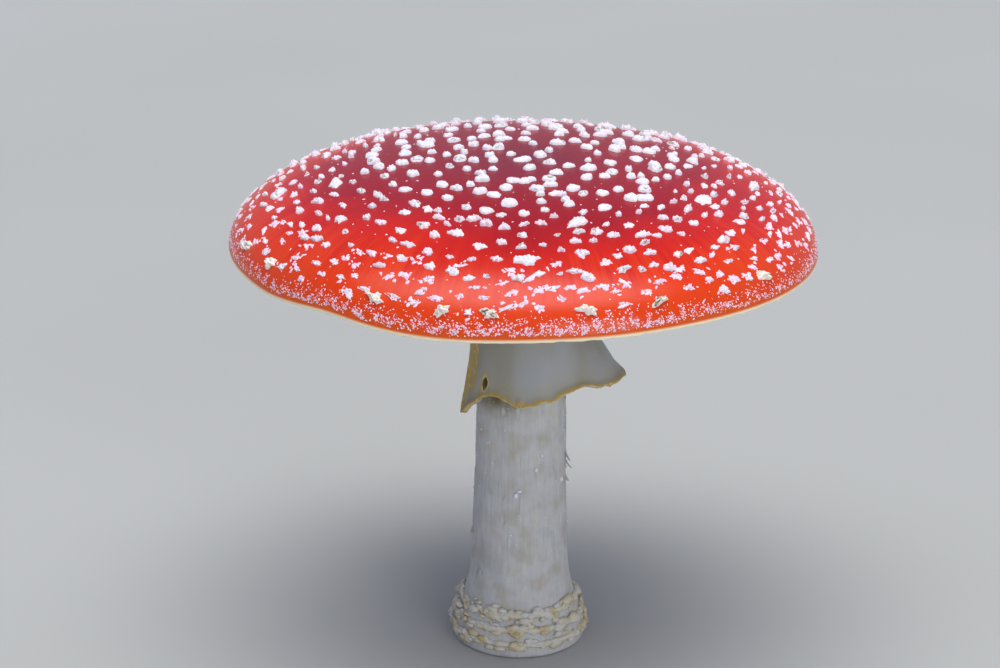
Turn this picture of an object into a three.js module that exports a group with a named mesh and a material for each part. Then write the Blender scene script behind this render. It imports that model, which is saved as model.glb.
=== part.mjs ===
// A fly agaric with a fully opened cap, picked and trimmed level through its bulb, so that it stands on the cut.
// Millimetres, +Z up. The origin is the middle of the cut face. Angles run anticlockwise from +X, seen from above.

import * as THREE from "three";

// ---------- Driving dimensions ----------

const GAP = 0.3; // left between pieces that touch

const CAP_RADIUS = 80;
const CAP_RISE = 24; // from the margin up to the middle of the skin
const CAP_FULLNESS = 2.5; // 2 is an ellipse; more is flatter on top and rounder at the shoulder
const MARGIN_HEIGHT = 118; // from the cut face up to the margin
const LIP_THICKNESS = 1.3;
const FLESH_AT_MARGIN = 1.6;
const FLESH_AT_CENTRE = 12.6;
const MARGIN_BUMPS = [
  { at: -145, rise: -0.4, width: 7 },
  { at: -128, rise: 0.9, width: 8 },
  { at: -106, rise: -0.9, width: 14 },
  { at: -57, rise: 0.5, width: 18 },
  { at: -15, rise: -0.5, width: 18 },
  { at: 38, rise: 0.7, width: 22 },
  { at: 92, rise: -0.6, width: 25 },
  { at: 148, rise: 0.5, width: 20 },
]; // degrees and millimetres: where the margin is raised or hangs lower

const GILL_INNER = 15.5; // the gills are free: they stop short of the stem
const GILL_OUTER = 78.2;
const GILL_THICKNESS = 0.9;
const GILL_ROOT = 0.8; // the layer that the gills grow from, under the flesh
const GILL_PAIRS = 30; // long gills, with a short one between each two
const LONG_GILL = { inner: GILL_INNER, depth: 10.5 };
const SHORT_GILL = { inner: 46, depth: 8.5 };

const SKIRT_TOP = 104; // where the ring leaves the stem
const SKIRT_THICKNESS = 1.3;
const SKIRT_DROP = 26;
const FLAP = { start: -124, tip: -170, end: 145, drop: 11.2 }; // angles in degrees

const CROWN_WARTS = 40;
const CROWN_REACH = 67; // the outermost of them, from the cap's axis
const MARGIN_WART_ANGLES = [-159, -147, -118, -105, -96, -78, -64, -38, 22, 63, 104, 152];
const MARGIN_WART_REACH = 77.3;

const SEGMENTS = { cap: 60, stem: 32, skirt: 60, wart: 9 };

function radians(degrees) {
  return (degrees * Math.PI) / 180;
}

// A repeatable run of numbers from 0 to 1.
function randomFrom(seed) {
  let state = seed;
  return () => {
    state = (Math.imul(state, 1664525) + 1013904223) >>> 0;
    return state / 2 ** 32;
  };
}

// 1 at the centre angle, falling to nothing over about twice the width.
function lobe(angle, centre, width) {
  const off = Math.atan2(Math.sin(angle - centre), Math.cos(angle - centre));
  return Math.exp(-((off / width) ** 2));
}

// Nearly 1 up to a width from the centre angle, where it falls away sharply.
function plateau(angle, centre, width) {
  const off = Math.atan2(Math.sin(angle - centre), Math.cos(angle - centre));
  return Math.exp(-((off / width) ** 8));
}

// ---------- Geometry helpers ----------

// Turns a closed profile of [radius, height] points about +Z.
function turned(profile, segments) {
  const points = profile.map(([radius, height]) => new THREE.Vector2(radius, height));
  return new THREE.LatheGeometry(points, segments).rotateX(Math.PI / 2);
}

// Moves each vertex of a geometry with a function of it and its angle about Z.
function reshaped(geometry, move) {
  const positions = geometry.getAttribute("position");
  const point = new THREE.Vector3();
  for (let i = 0; i < positions.count; i++) {
    point.fromBufferAttribute(positions, i);
    move(point, Math.atan2(point.y, point.x));
    positions.setXYZ(i, point.x, point.y, point.z);
  }
  geometry.computeVertexNormals();
  return geometry;
}

function pushOut(point, distance) {
  const radius = Math.hypot(point.x, point.y);
  point.x *= (radius + distance) / radius;
  point.y *= (radius + distance) / radius;
}

function named(name, geometry, material) {
  const mesh = new THREE.Mesh(geometry, material);
  mesh.name = name;
  return mesh;
}

// ---------- Materials ----------

function matter(color, roughness) {
  return new THREE.MeshStandardMaterial({ color, roughness, metalness: 0 });
}

const SKIN = matter(0xc8231c, 0.25);
const GILL = matter(0xf3ecd8, 0.6);
const FLESH = matter(0xe6e2d8, 0.7);
const SKIRT = matter(0xe9e4cf, 0.65);
const VEIL = matter(0xf6f3ec, 0.85);
const SCALE = matter(0xe4d3a2, 0.8);

// ---------- The cap's form ----------

// The margin isn't level: it rises and falls a little on its way round.
function marginWave(angle) {
  return MARGIN_BUMPS.reduce(
    (sum, { at, rise, width }) => sum + rise * lobe(angle, radians(at), radians(width)),
    0,
  );
}

function waveAt(radius, angle) {
  return marginWave(angle) * (radius / CAP_RADIUS) ** 4;
}

// The skin's height at a radius, before the wave.
function skinHeight(radius) {
  const share = Math.min(radius / CAP_RADIUS, 1);
  return MARGIN_HEIGHT + CAP_RISE * Math.sqrt(1 - share ** CAP_FULLNESS);
}

function skinPoint(radius, angle) {
  return new THREE.Vector3(
    radius * Math.cos(angle),
    radius * Math.sin(angle),
    skinHeight(radius) + waveAt(radius, angle),
  );
}

function skinNormal(radius, angle) {
  const step = 0.05;
  const outward = skinPoint(radius + step, angle).sub(skinPoint(radius - step, angle));
  const around = skinPoint(radius, angle + step / radius).sub(skinPoint(radius, angle - step / radius));
  return outward.cross(around).normalize();
}

// The underside of the flesh, where the gills grow.
function fleshHeight(radius) {
  const share = radius / CAP_RADIUS;
  const thickness = FLESH_AT_MARGIN + (FLESH_AT_CENTRE - FLESH_AT_MARGIN) * (1 - share) ** 1.15;
  return skinHeight(radius) - thickness;
}

function cap() {
  const rings = 15;
  const profile = [];
  for (const radius of [0, 12, 24, 36, 48, 59, 68, 74, 77, CAP_RADIUS - LIP_THICKNESS]) {
    profile.push([radius, fleshHeight(radius)]);
  }
  profile.push([CAP_RADIUS - LIP_THICKNESS, MARGIN_HEIGHT + 0.4]);
  profile.push([CAP_RADIUS - 0.7 * LIP_THICKNESS, MARGIN_HEIGHT]);
  profile.push([CAP_RADIUS - 0.2 * LIP_THICKNESS, MARGIN_HEIGHT]);
  for (let i = rings; i >= 0; i--) {
    const turn = (i / rings) * radians(87);
    const radius = CAP_RADIUS * Math.sin(turn) ** (2 / CAP_FULLNESS);
    profile.push([radius, skinHeight(radius)]);
  }
  const geometry = reshaped(turned(profile, SEGMENTS.cap), (point, angle) => {
    point.z += waveAt(Math.hypot(point.x, point.y), angle);
  });
  return named("cap", geometry, SKIN);
}

// ---------- The gills ----------

function rootHeight(radius) {
  return fleshHeight(radius) - GAP;
}

// A gill's depth below its root, rounded off at both ends and nothing beyond them.
function gillDepth(radius, { inner, depth }) {
  const middle = (GILL_OUTER + inner) / 2;
  const half = (GILL_OUTER - inner) / 2;
  return depth * Math.sqrt(Math.max(0, 1 - ((radius - middle) / half) ** 4));
}

// One turned layer, whose underside is pleated: each gill takes four of its lines, two along its
// edge and two at its foot, and those are drawn together to the gill's thickness.
function gills() {
  const undersideRadii = [GILL_INNER, 18, 24, SHORT_GILL.inner, 51, 62, 72, 76, GILL_OUTER];
  const topRadii = [GILL_OUTER, 62, 38, GILL_INNER];
  const underside = undersideRadii.map((radius) => [radius, rootHeight(radius) - GILL_ROOT]);
  const top = topRadii.map((radius) => [radius, rootHeight(radius)]);
  const gillCount = 2 * GILL_PAIRS;
  const offsets = [-0.5, 0.5, 0.55, -0.55].map((share) => share * GILL_THICKNESS);

  const layer = turned([...underside, ...top, underside[0]], 4 * gillCount);
  const geometry = reshaped(layer, (point, angle) => {
    const radius = Math.hypot(point.x, point.y);
    const line = Math.round((angle / (2 * Math.PI)) * 4 * gillCount) + 4 * gillCount;
    const role = (line + 1) % 4; // 0 and 3 at the foot, 1 and 2 along the edge
    const gill = Math.floor((line + 1) / 4);
    const centre = (gill * 2 * Math.PI) / gillCount;
    const aside = [offsets[3], offsets[0], offsets[1], offsets[2]][role];
    const isEdge = role === 1 || role === 2;
    const isUnderside = point.z < rootHeight(radius) - GILL_ROOT / 2;
    if (isEdge && isUnderside) point.z -= gillDepth(radius, gill % 2 ? SHORT_GILL : LONG_GILL);
    point.x = radius * Math.cos(centre) - aside * Math.sin(centre);
    point.y = radius * Math.sin(centre) + aside * Math.cos(centre);
    point.z += waveAt(radius, centre);
  });
  return named("gills", geometry, GILL);
}

// ---------- The stem with its bulb ----------

const STEM_OUTLINE = new THREE.SplineCurve(
  [
    [18.6, 1],
    [19.0, 5],
    [17.5, 9],
    [15.5, 13.5],
    [14.0, 21],
    [13.2, 35],
    [12.7, 56],
    [12.3, 75],
    [11.9, 92],
    [12.3, 113],
    [13.3, 127],
  ].map(([radius, height]) => new THREE.Vector2(radius, height)),
);

// The stem's radius at a height, read off its outline.
function stemRadius(height) {
  let low = 0;
  let high = 1;
  for (let i = 0; i < 24; i++) {
    const middle = (low + high) / 2;
    if (STEM_OUTLINE.getPoint(middle).y < height) low = middle;
    else high = middle;
  }
  return STEM_OUTLINE.getPoint(low).x;
}

function stem() {
  const side = STEM_OUTLINE.getPoints(20).map(({ x, y }) => [x, y]);
  const neck = side.at(-1)[0];
  const apex = [neck, 0.5 * neck, 0].map((radius) => [radius, fleshHeight(radius) - GAP]);
  const profile = [[0, 0], [18, 0], ...side, ...apex];
  return named("stem", turned(profile, SEGMENTS.stem), FLESH);
}

// ---------- The ring: a torn skirt that hangs from the upper stem ----------

// The hem of the flap slants down from its start to its tip, and back up on the torn side: 0 to 1.
function flap(angle) {
  const before = Math.atan2(Math.sin(radians(FLAP.start) - angle), Math.cos(radians(FLAP.start) - angle));
  const after = Math.atan2(Math.sin(angle - radians(FLAP.end)), Math.cos(angle - radians(FLAP.end)));
  const slope = before / radians(FLAP.start - FLAP.tip);
  const ascent = after / radians(360 + FLAP.tip - FLAP.end);
  return THREE.MathUtils.clamp(Math.min(slope, ascent), 0, 1);
}

// It stands out widely on the right, hugs the stem in front and has a flap on the left.
function skirtFlare(angle) {
  return (
    7.3 +
    4.9 * Math.cos(angle) +
    2.2 * Math.sin(angle) +
    2.6 * Math.cos(2 * angle) -
    2 * lobe(angle, radians(-55), radians(25))
  );
}

function skirtDrop(angle) {
  return (
    SKIRT_DROP +
    3.4 * lobe(angle, radians(-91), radians(22)) +
    1.2 * lobe(angle, radians(-62), radians(14)) +
    FLAP.drop * flap(angle) -
    2 * lobe(angle, radians(-37), radians(22)) +
    1.5 * lobe(angle, radians(75), radians(25))
  );
}

// Beside the flap it is torn open, and only this share of its depth is left.
function skirtLeft(angle) {
  return 1 - 0.75 * plateau(angle, radians(170), radians(26));
}

// On the right it leaves the stem as a cone; on the left it clings before it turns out.
function skirtBend(angle) {
  return 1.55 - 0.55 * Math.cos(angle);
}

function skirt() {
  const steps = 7;
  const inner = [];
  const outer = [];
  for (let i = 0; i <= steps; i++) {
    const down = i / steps;
    const height = SKIRT_TOP - SKIRT_DROP * down;
    inner.push([GAP, height]);
    outer.push([GAP + SKIRT_THICKNESS * (0.55 + 0.45 * down ** 3), height]);
  }
  const profile = [...outer.reverse(), ...inner, outer[0]];
  const geometry = reshaped(turned(profile, SEGMENTS.skirt), (point, angle) => {
    const down = ((SKIRT_TOP - point.z) / SKIRT_DROP) * skirtLeft(angle);
    point.z = SKIRT_TOP - skirtDrop(angle) * down;
    pushOut(point, stemRadius(point.z) + skirtFlare(angle) * down ** skirtBend(angle));
  });
  return named("ring", geometry, SKIRT);
}

// ---------- The veil's remains ----------

// Belts of scales round the bulb, each a crumbling ledge that points up.
function volvaBelt(name, height, seed) {
  const random = randomFrom(seed);
  const phases = [random(), random(), random()].map((share) => share * 2 * Math.PI);
  const section = [
    [0, -1.2],
    [0.9, -0.6],
    [1.5, 0.7],
    [0.7, 1.1],
    [0, 1.0],
    [0, -1.2],
  ];
  const profile = section.map(([out, up]) => [stemRadius(height + up) + GAP + out, height + up]);
  const geometry = reshaped(turned(profile, SEGMENTS.stem), (point, angle) => {
    const out = Math.hypot(point.x, point.y) - stemRadius(point.z) - GAP;
    const crumble = Math.sin(9 * angle + phases[0]) + Math.sin(13 * angle + phases[1]);
    if (out > 0.1) pushOut(point, 0.25 * crumble * out);
    if (out > 0.1) point.z += 0.3 * Math.sin(7 * angle + phases[2]);
  });
  return named(name, geometry, SCALE);
}

// One wart in its own frame: a crumb with a ragged foot and a peak a little off centre.
function wartGeometry(width, height, random) {
  const half = width / 2;
  const profile = [
    [0, 0],
    [half, 0],
    [0.93 * half, 0.35 * height],
    [0.55 * half, 0.85 * height],
    [0, height],
  ];
  const phases = [random(), random(), random()].map((share) => share * 2 * Math.PI);
  const slant = new THREE.Vector2(random() - 0.5, random() - 0.5).multiplyScalar(0.35 * half);
  const stretch = 0.78 + 0.3 * random();
  return reshaped(turned(profile, SEGMENTS.wart), (point, angle) => {
    const ragged =
      1 +
      0.13 * Math.sin(2 * angle + phases[0]) +
      0.1 * Math.sin(3 * angle + phases[1]) +
      0.07 * Math.sin(4 * angle + phases[2]);
    point.x = point.x * ragged + (slant.x * point.z) / height;
    point.y = point.y * ragged * stretch + (slant.y * point.z) / height;
  });
}

function wart(name, radius, angle, width, height, random) {
  const mesh = named(name, wartGeometry(width, height, random), VEIL);
  const up = skinNormal(radius, angle);
  mesh.position.copy(skinPoint(radius, angle)).addScaledVector(up, GAP);
  mesh.quaternion.setFromUnitVectors(new THREE.Vector3(0, 0, 1), up);
  return mesh;
}

function numbered(stem, index) {
  return `${stem}_${String(index + 1).padStart(2, "0")}`;
}

// The thick warts of the crown, on a sunflower spiral that is closer set towards the middle.
function crownWarts() {
  const random = randomFrom(11);
  const golden = Math.PI * (3 - Math.sqrt(5));
  return Array.from({ length: CROWN_WARTS }, (_, i) => {
    const share = (i + 0.5) / CROWN_WARTS;
    const radius = CROWN_REACH * share ** 0.6 + 1.2 * (random() - 0.5);
    const angle = i * golden + 0.12 * (random() - 0.5);
    const width = 3.8 + 1.3 * random();
    const height = 2.1 - 0.7 * share + 0.5 * random();
    return wart(numbered("wart", i), radius, angle, width, height, random);
  });
}

// A sparse row of thick, cream warts close above the margin.
function marginWarts() {
  const random = randomFrom(29);
  return MARGIN_WART_ANGLES.map((degrees, i) => {
    const radius = MARGIN_WART_REACH + 1.2 * (random() - 0.5);
    const width = 3.7 + 1.0 * random();
    const height = 1.9 + 0.4 * random();
    return wart(numbered("margin_wart", i), radius, radians(degrees), width, height, random);
  });
}

// ---------- The mushroom ----------

const mushroom = new THREE.Group();
mushroom.add(
  cap(),
  gills(),
  stem(),
  skirt(),
  volvaBelt("volva_belt_upper", 12.2, 3),
  volvaBelt("volva_belt_middle", 8.2, 5),
  volvaBelt("volva_belt_lower", 4.2, 7),
  ...crownWarts(),
  ...marginWarts(),
);

export default mushroom;
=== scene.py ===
# %% [markdown]
# # A fly agaric, dressed in Blender
#
# The mushroom's solids are already built at their real size: cap, gills, stem, ring, the belts round
# the bulb and the thick warts. They are right in place and size but plain. This notebook makes a
# finer piece for each of them, which lies in the same place and stands for it. All lengths are in
# millimetres, as a mushroom is measured with a ruler, and turn into Blender's metres at the end.

import math

import bpy
import numpy as np
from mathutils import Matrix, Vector
from mathutils.kdtree import KDTree


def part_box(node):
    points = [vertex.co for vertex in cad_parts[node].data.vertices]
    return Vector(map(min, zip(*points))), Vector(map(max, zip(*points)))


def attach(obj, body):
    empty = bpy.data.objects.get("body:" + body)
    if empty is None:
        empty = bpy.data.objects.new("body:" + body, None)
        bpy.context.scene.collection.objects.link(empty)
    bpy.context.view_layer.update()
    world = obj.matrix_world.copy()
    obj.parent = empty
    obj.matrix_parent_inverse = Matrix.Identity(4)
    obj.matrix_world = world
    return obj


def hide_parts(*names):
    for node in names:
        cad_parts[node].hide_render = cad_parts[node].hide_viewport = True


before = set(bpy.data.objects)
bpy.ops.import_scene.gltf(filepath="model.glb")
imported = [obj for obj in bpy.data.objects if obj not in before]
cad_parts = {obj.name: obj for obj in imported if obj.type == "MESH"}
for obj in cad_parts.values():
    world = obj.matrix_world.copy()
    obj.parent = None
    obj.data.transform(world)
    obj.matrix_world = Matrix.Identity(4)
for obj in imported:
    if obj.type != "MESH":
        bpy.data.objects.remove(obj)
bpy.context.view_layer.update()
MM = 0.001
TURN = 2 * math.pi


def box_of(name):
    """The low and high corner of one of the frame's solids, in millimetres."""
    return tuple(np.array(corner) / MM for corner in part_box(name))


def add_object(name, data):
    """Puts a camera, a lamp or a mesh into the scene."""
    thing = bpy.data.objects.new(name, data)
    bpy.context.collection.objects.link(thing)
    return thing


print("the frame holds", len(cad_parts), "solids")

# %% [markdown]
# ## Looking through a long lens
#
# From close by, a wide lens would bulge the near edge of the cap. A longer lens from further away
# keeps the cap's outline a quiet ellipse. The place could be typed in as three coordinates, but it is
# easier to grasp as a walk: nine cap radii away from the middle of the cap, at 18 degrees above its
# margin. The camera then tips down to take in the cut foot and rolls by half a degree, as in a hand.

# %% Camera
CAP_RISE = 24.0  # from the margin up to the middle of the skin
cap_low, cap_high = box_of("cap")
CAP_RADIUS = (cap_high[0] - cap_low[0]) / 2 + 0.1  # a facet's corners lie a hair inside the circle
MARGIN_HEIGHT = cap_high[2] - CAP_RISE
DISTANCE = 9 * CAP_RADIUS
ELEVATION = math.radians(18)
AIM = Vector((-6.1, 0, 90.6)) * MM  # a little left of the stem, under the top of the ring
ROLL = math.radians(0.55)

camera = add_object("camera", bpy.data.cameras.new("camera"))
camera.data.sensor_width = 36
camera.data.lens = 94.9
walk_back = -DISTANCE * math.cos(ELEVATION)
climb = MARGIN_HEIGHT + DISTANCE * math.sin(ELEVATION)
camera.location = Vector((0, walk_back, climb)) * MM
camera.rotation_euler = (AIM - camera.location).to_track_quat("-Z", "Y").to_euler()
camera.rotation_euler.rotate_axis("Z", ROLL)
bpy.context.scene.camera = camera
print("the camera stands", round(camera.location.length, 3), "m from the foot")

# %% [markdown]
# ## Soft light from a bright dome
#
# Mushrooms grow under trees, where the light is soft and falls from above. Lamps could imitate that,
# but each one leaves a hard-edged reflection in the moist cap. So the light comes from the world: a
# dome that is brightest overhead and fades towards the horizon. Its bright top makes the broad sheen
# on the cap's shoulder, and its dim sides leave the red deep. One large soft lamp lifts the stem,
# which the cap would otherwise keep in deep shade.

# %% Colours and nodes


def linear(hex_colour):
    """A colour picked on a screen, such as #C8231C, as the linear light that the renderer adds up."""
    shares = [int(hex_colour[i : i + 2], 16) / 255 for i in (1, 3, 5)]
    return [s / 12.92 if s <= 0.04045 else ((s + 0.055) / 1.055) ** 2.4 for s in shares] + [1.0]


def add_node(tree, kind, inputs=None, stops=None, out=0, **settings):
    """
    Adds a shader node and gives one of its outputs. An input is a value, a hex colour or the output of
    another node; stops fill a colour ramp.
    """
    node = tree.nodes.new("ShaderNode" + kind)
    for name, value in settings.items():
        setattr(node, name, value)
    for key, value in (inputs or {}).items():
        if isinstance(value, bpy.types.NodeSocket):
            tree.links.new(value, node.inputs[key])
        else:
            node.inputs[key].default_value = linear(value) if isinstance(value, str) else value
    if stops:
        elements = node.color_ramp.elements
        while len(elements) < len(stops):
            elements.new(0.5)
        for element, (place, colour) in zip(elements, stops):
            element.position = place
            element.color = linear(colour)
    return node.outputs[out]


# %% Dome and lamp
world = bpy.data.worlds.new("bright_dome")
world.use_nodes = True
sky = world.node_tree
towards = add_node(sky, "TexCoord", out="Generated")
longer = add_node(sky, "VectorMath", {0: towards, 1: (0.62, 1, 1)}, operation="MULTIPLY")
stretched = add_node(sky, "VectorMath", {0: longer}, operation="NORMALIZE")
top = (0, -0.12, 0.993)  # the brightest part leans a little to the front
upward = add_node(sky, "VectorMath", {0: stretched, 1: top}, out="Value", operation="DOT_PRODUCT")
dome_stops = [
    (0.0, "#44464F"), (0.25, "#444656"), (0.60, "#3E4150"), (0.80, "#393B44"),
    (0.89, "#505254"), (0.94, "#A8A9AA"), (0.985, "#FFFFFF"),
]  # from the horizon up
glow = add_node(sky, "ValToRGB", {"Fac": upward}, dome_stops)
sky.links.new(glow, sky.nodes["Background"].inputs["Color"])
sky.nodes["Background"].inputs["Strength"].default_value = 5.6
bpy.context.scene.world = world
bpy.context.scene.view_settings.view_transform = "Standard"

# One large square lamp, low in front, looks at the middle of the mushroom.
lamp = bpy.data.lights.new("front_lamp", "AREA")
lamp.size = 1.0
lamp.energy = 8.5
holder = add_object("front_lamp", lamp)
holder.location = (0.7, -1.45, 0.45)
holder.rotation_euler = (Vector((0, 0, 0.08)) - holder.location).to_track_quat("-Z", "Y").to_euler()
print("lit by a dome and", len(bpy.data.lights), "lamp")

# %% [markdown]
# ## Floor
#
# The floor is only there to catch the shadow and to throw some light back up into the gills. A sheet
# of paper bent up behind would do, but then the mushroom couldn't be seen from behind, so the floor
# is one wide flat sheet, which reaches past every view.


# %% Helpers for materials
def new_material(name, **sockets):
    """
    A material, its nodes and its object coordinates. It has one Principled shader, and each value that
    is even all over goes on the shader's own socket.
    """
    print("material:", name)
    material = bpy.data.materials.new(name)
    material.use_nodes = True
    tree = material.node_tree
    for key, value in sockets.items():
        socket = key.replace("_", " ").title().replace("Ior", "IOR")
        tree.nodes["Principled BSDF"].inputs[socket].default_value = value
    return material, tree, add_node(tree, "TexCoord", out="Object")


def finished(material, colour, height=None, strength=0.0, depth=0.0, over=None):
    """
    The material with its colour on the shader, and with its relief: how strong it is, how many
    millimetres deep, and which other relief it lies over.
    """
    tree = material.node_tree
    shader = tree.nodes["Principled BSDF"]
    tree.links.new(colour, shader.inputs["Base Color"])
    if height:
        relief = {"Height": height, "Strength": strength, "Distance": depth * MM}
        relief.update({"Normal": over} if over else {})
        tree.links.new(add_node(tree, "Bump", relief), shader.inputs["Normal"])
    return material


def sized(place, size, detail=2):
    """What makes the features of a noise so many millimetres across."""
    return {"Vector": place, "Scale": 1 / (size * MM), "Detail": detail}


# Noise keeps near its middle value, so it is spread from this range over the one that is wanted.
NOISE_RANGE = {1: 0.35, 2: 0.65}

# What makes a Mix node blend two colours, its inputs 6 and 7, and what makes it darken one by the other.
BLEND = {"data_type": "RGBA", "out": 2}
DARKEN = {**BLEND, "blend_type": "MULTIPLY"}


def clouded(name, clouds, stops, grain=None, relief=(), **sockets):
    """
    A material whose colour drifts in clouds, with a grain that stands up in relief. Clouds and grain
    are given by their size in millimetres and their detail, and the relief by its strength and depth.
    """
    material, tree, place = new_material(name, **sockets)
    cloud = add_node(tree, "TexNoise", sized(place, *clouds))
    tone = add_node(tree, "ValToRGB", {"Fac": cloud}, stops)
    height = add_node(tree, "TexNoise", sized(place, *grain)) if grain else None
    return finished(material, tone, height, *relief)


# %% Floor
# Uncoated paper: matt and very faintly clouded, so that it reads as a surface, not a void.
PAPER = clouded("Matt_seamless_paper", [300], [(0.35, "#AFB0AC"), (0.65, "#B3B4B1")], roughness=0.8)

floor_mesh = bpy.data.meshes.new("floor")
FLOOR = 4.0  # metres to each side
corners = [(-FLOOR, -FLOOR, 0), (FLOOR, -FLOOR, 0), (FLOOR, FLOOR, 0), (-FLOOR, FLOOR, 0)]
floor_mesh.from_pydata(corners, [], [(0, 1, 2, 3)])
floor_mesh.materials.append(PAPER)
floor = add_object("floor", floor_mesh)
print("the floor is", 2 * FLOOR, "m wide")

# %% [markdown]
# ## Meshes from grids
#
# Living forms could be sculpted, but a script can't hold a brush. Nearly every surface here is a grid
# instead: rings of points from the crown to the margin, or from the foot of the stem to its neck,
# placed by a formula. Arrays make such a grid at once, its lines follow the growth of the mushroom,
# and its points can carry extra numbers, such as the distance to the margin, for the material to read.


# %% Helpers for meshes
def grid_faces(rows, columns, closed=True, start=0):
    """
    Quads between the points of a grid, which is closed if its last column meets its first. They face
    outwards where the rows run down and the columns anticlockwise, so a form built upwards is turned.
    """
    row = np.arange(rows - 1)[:, None]
    column = np.arange(columns if closed else columns - 1)[None, :]
    beside = (column + 1) % columns
    corners = [row * columns + column, (row + 1) * columns + column]
    corners += [(row + 1) * columns + beside, row * columns + beside]
    return start + np.stack([c.ravel() for c in np.broadcast_arrays(*corners)], axis=1)


def all_round(columns):
    """The angles of a closed grid's columns."""
    return np.linspace(0, TURN, columns, endpoint=False)


def joined(parts):
    """One mesh from many: all their points in a row, with faces that count on from part to part."""
    points, faces, first = [], [], 0
    for part_points, part_faces in parts:
        points.append(part_points)
        faces += [face + first for face in part_faces]
        first += len(part_points)
    return np.concatenate(points), faces


def add_piece(name, points, faces, material, slot, attributes=None, replaces=()):
    """A smooth mesh in millimetres that rides on the mushroom and may stand for its solids."""
    mesh = bpy.data.meshes.new(name)
    mesh.from_pydata((points * MM).tolist(), [], [tuple(int(corner) for corner in face) for face in faces])
    mesh.shade_smooth()
    for key, values in (attributes or {}).items():
        mesh.attributes.new(key, "FLOAT", "POINT").data.foreach_set("value", np.float32(values))
    mesh.materials.append(material)
    piece = add_object(name, mesh)
    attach(piece, "root")
    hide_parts(*replaces)
    print(f"{name}: {len(points)} points, {len(faces)} faces")
    return piece


def ripples(points, wavelength, seed, waves=20):
    """Soft random lumps about one wavelength across, mostly between -1 and 1, at each point."""
    rng = np.random.default_rng(seed)
    directions = rng.normal(size=(waves, points.shape[1]))
    directions /= np.linalg.norm(directions, axis=1, keepdims=True)
    numbers = directions * TURN / np.asarray(wavelength) * rng.uniform(0.7, 1.4, (waves, 1))
    phases = rng.uniform(0, TURN, waves)
    return np.cos(points @ numbers.T + phases).sum(axis=1) / math.sqrt(2 * waves)


def short_way(angle):
    """The same turn as an angle between minus and plus half a turn."""
    return np.angle(np.exp(1j * angle))


def lobe(angle, centre, width, power=2):
    """1 at the centre and about a third a width away, in degrees; a higher power makes a plateau."""
    off = short_way(angle - math.radians(centre))
    return np.exp(-(np.abs(off / math.radians(width)) ** power))


def turned(angle, radius, height):
    """Points round the mushroom's axis."""
    angle, radius, height = np.broadcast_arrays(angle, radius, height)
    return np.stack([radius * np.cos(angle), radius * np.sin(angle), height], axis=-1)


# %% [markdown]
# ## The cap's skin as a map
#
# Everything on the cap must follow its dome. Small pieces could be dropped onto it with a Shrinkwrap
# modifier, but then each would need one. So the skin is mapped flat, as a globe is mapped round its
# pole: a spot's distance from the middle of the map is its distance from the crown along the skin. A
# wart drawn on the map and wrapped onto the dome hugs the curve wherever it lies.

# %% Meridian of the cap
CAP_FULLNESS = 2.5  # 2 is an ellipse; more is flatter on top and rounder at the shoulder
FRONT = -90  # the camera's side, in degrees
MARGIN_BUMPS = [
    (-145, -0.4, 7), (-128, 0.9, 8), (-106, -0.9, 14), (-57, 0.5, 18),
    (-15, -0.5, 18), (38, 0.7, 22), (92, -0.6, 25), (148, 0.5, 20),
]  # where in degrees, how much higher and how wide: the margin rises and falls on its way round

fan = np.linspace(0, TURN / 4, 4000)
meridian_r = CAP_RADIUS * np.sin(fan) ** (2 / CAP_FULLNESS)
meridian_z = CAP_RISE * np.cos(fan)
meridian_s = np.concatenate([[0], np.cumsum(np.hypot(np.diff(meridian_r), np.diff(meridian_z)))])
SKIN = meridian_s[-1]
print(f"from the crown to the margin the skin is {SKIN:.1f} mm long")


def margin_wave(angle, radius=CAP_RADIUS):
    """How much its waves lift the cap; they die out towards the crown."""
    wave = sum(rise * lobe(angle, at, width) for at, rise, width in MARGIN_BUMPS)
    return wave * (radius / CAP_RADIUS) ** 4


def on_map(along, angle):
    """The spot on the map at a distance from the crown and an angle."""
    return np.stack([along * np.cos(angle), along * np.sin(angle)], axis=-1)


def on_cap(spots, lift=0.0):
    """Wraps spots of the map onto the skin, each lifted off it by so many millimetres."""
    along = np.hypot(spots[:, 0], spots[:, 1])
    angle = np.arctan2(spots[:, 1], spots[:, 0])
    step = 0.05  # a look to both sides tells how steep the skin is
    inner, outer = np.clip(along - step, 0, SKIN), np.clip(along + step, 0, SKIN)
    run = np.interp(outer, meridian_s, meridian_r) - np.interp(inner, meridian_s, meridian_r)
    fall = np.interp(inner, meridian_s, meridian_z) - np.interp(outer, meridian_s, meridian_z)
    steep = np.hypot(run, fall)
    radius = np.interp(along, meridian_s, meridian_r) + lift * fall / steep
    height = np.interp(along, meridian_s, meridian_z) + lift * run / steep
    height = height - np.clip(along - SKIN, 0, None)
    return turned(angle, radius, height + MARGIN_HEIGHT + margin_wave(angle, radius))


# %% [markdown]
# ## Skin of the cap
#
# The skin of a fly agaric is a thin moist jelly full of red pigment, over white flesh. Sprayed lacquer
# looks much like it, so it gets a clear coat over a satin base. The pigment could be one red, but it
# is deepest at the crown and thins to orange near the margin, where fine threads in the skin show as
# streaks, and the very lip is bare flesh. The distance to the margin drives all of that.


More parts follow.
